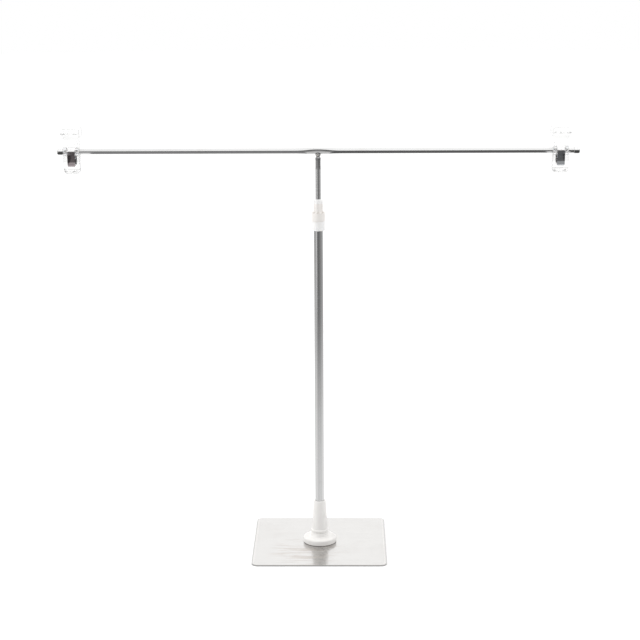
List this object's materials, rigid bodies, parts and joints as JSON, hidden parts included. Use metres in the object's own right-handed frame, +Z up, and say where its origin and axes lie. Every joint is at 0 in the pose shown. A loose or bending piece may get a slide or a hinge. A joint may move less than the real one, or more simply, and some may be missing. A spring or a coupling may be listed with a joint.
{
  "type": "tabletop backdrop stand",
  "caption": "Tabletop T-shaped backdrop stand with a square base plate, a telescopic tube mast with clamp nuts, and a crossbar with clear spring clips.",
  "frame": {"origin": "centre of the base plate's underside, where the stand rests on its table", "axes": "+X along the crossbar, +Y towards the backdrop's rear side, +Z up along the mast"},
  "size_m": [0.68, 0.18, 0.5708],
  "materials": {
    "brushed_plate": "fine brushed stainless",
    "polished_steel": "polished",
    "zinc_steel": "zinc plated",
    "spring_steel": "bright tempered",
    "white_plastic": "moulded, semi-gloss",
    "clear_plastic": "clear moulded",
    "milky_plastic": "milky moulded, semi-gloss",
    "cap_chrome": "polished"
  },
  "bodies": {
    "base": {"base_plate": "brushed_plate", "base_screw": "zinc_steel", "socket_nut": "zinc_steel", "base_socket": "white_plastic", "base_collet": "white_plastic"},
    "cone_nut": {"base_cone_nut": "white_plastic"},
    "mast": {"lower_tube": "polished_steel", "lock_body": "white_plastic", "lock_collet": "white_plastic"},
    "clamp_nut": {"lock_nut": "white_plastic"},
    "guide": {"rod_guide": "white_plastic"},
    "tee": {"upper_rod": "polished_steel", "crossbar": "polished_steel", "tee_weld": "polished_steel", "left_end_cap": "cap_chrome", "right_end_cap": "cap_chrome"},
    "left_sleeve": {"left_rod_sleeve": "milky_plastic"},
    "left_clip": {"left_rear_jaw": "clear_plastic", "left_spring": "spring_steel"},
    "left_front": {"left_front_jaw": "clear_plastic"},
    "right_sleeve": {"right_rod_sleeve": "milky_plastic"},
    "right_clip": {"right_rear_jaw": "clear_plastic", "right_spring": "spring_steel"},
    "right_front": {"right_front_jaw": "clear_plastic"}
  },
  "joints": [
    {"name": "cone_nut_turn", "type": "hinge", "parent": "base", "child": "cone_nut", "pos_m": [0, 0, 0.0165], "axis": [0, 0, 1], "range_deg": [0, 270]},
    {"name": "mast_turn", "type": "hinge", "parent": "base", "child": "mast", "pos_m": [0, 0, 0.0113], "axis": [0, 0, 1], "continuous": true},
    {"name": "clamp_nut_turn", "type": "hinge", "parent": "mast", "child": "clamp_nut", "pos_m": [0, 0, 0.448], "axis": [0, 0, 1], "range_deg": [0, 270]},
    {"name": "height_slide", "type": "slide", "parent": "mast", "child": "guide", "axis": [0, 0, 1], "range_m": [-0.052, 0.212]},
    {"name": "pan", "type": "hinge", "parent": "guide", "child": "tee", "pos_m": [0, 0, 0.5403], "axis": [0, 0, 1], "continuous": true},
    {"name": "left_clip_slide", "type": "slide", "parent": "tee", "child": "left_sleeve", "axis": [1, 0, 0], "range_m": [-0.0007, 0.279]},
    {"name": "left_clip_swing", "type": "hinge", "parent": "left_sleeve", "child": "left_clip", "pos_m": [-0.321, 0, 0.5403], "axis": [1, 0, 0], "continuous": true},
    {"name": "left_jaw_open", "type": "hinge", "parent": "left_clip", "child": "left_front", "pos_m": [-0.321, 0, 0.5403], "axis": [-1, 0, 0], "range_deg": [0, 30], "stiffness_Nm_per_rad": 0.08, "springref_deg": -28.65, "deforming": ["left_spring"]},
    {"name": "right_clip_slide", "type": "slide", "parent": "tee", "child": "right_sleeve", "axis": [1, 0, 0], "range_m": [-0.273, 0.0067]},
    {"name": "right_clip_swing", "type": "hinge", "parent": "right_sleeve", "child": "right_clip", "pos_m": [0.315, 0, 0.5403], "axis": [1, 0, 0], "continuous": true},
    {"name": "right_jaw_open", "type": "hinge", "parent": "right_clip", "child": "right_front", "pos_m": [0.315, 0, 0.5403], "axis": [-1, 0, 0], "range_deg": [0, 30], "stiffness_Nm_per_rad": 0.08, "springref_deg": -28.65, "deforming": ["right_spring"]}
  ]
}
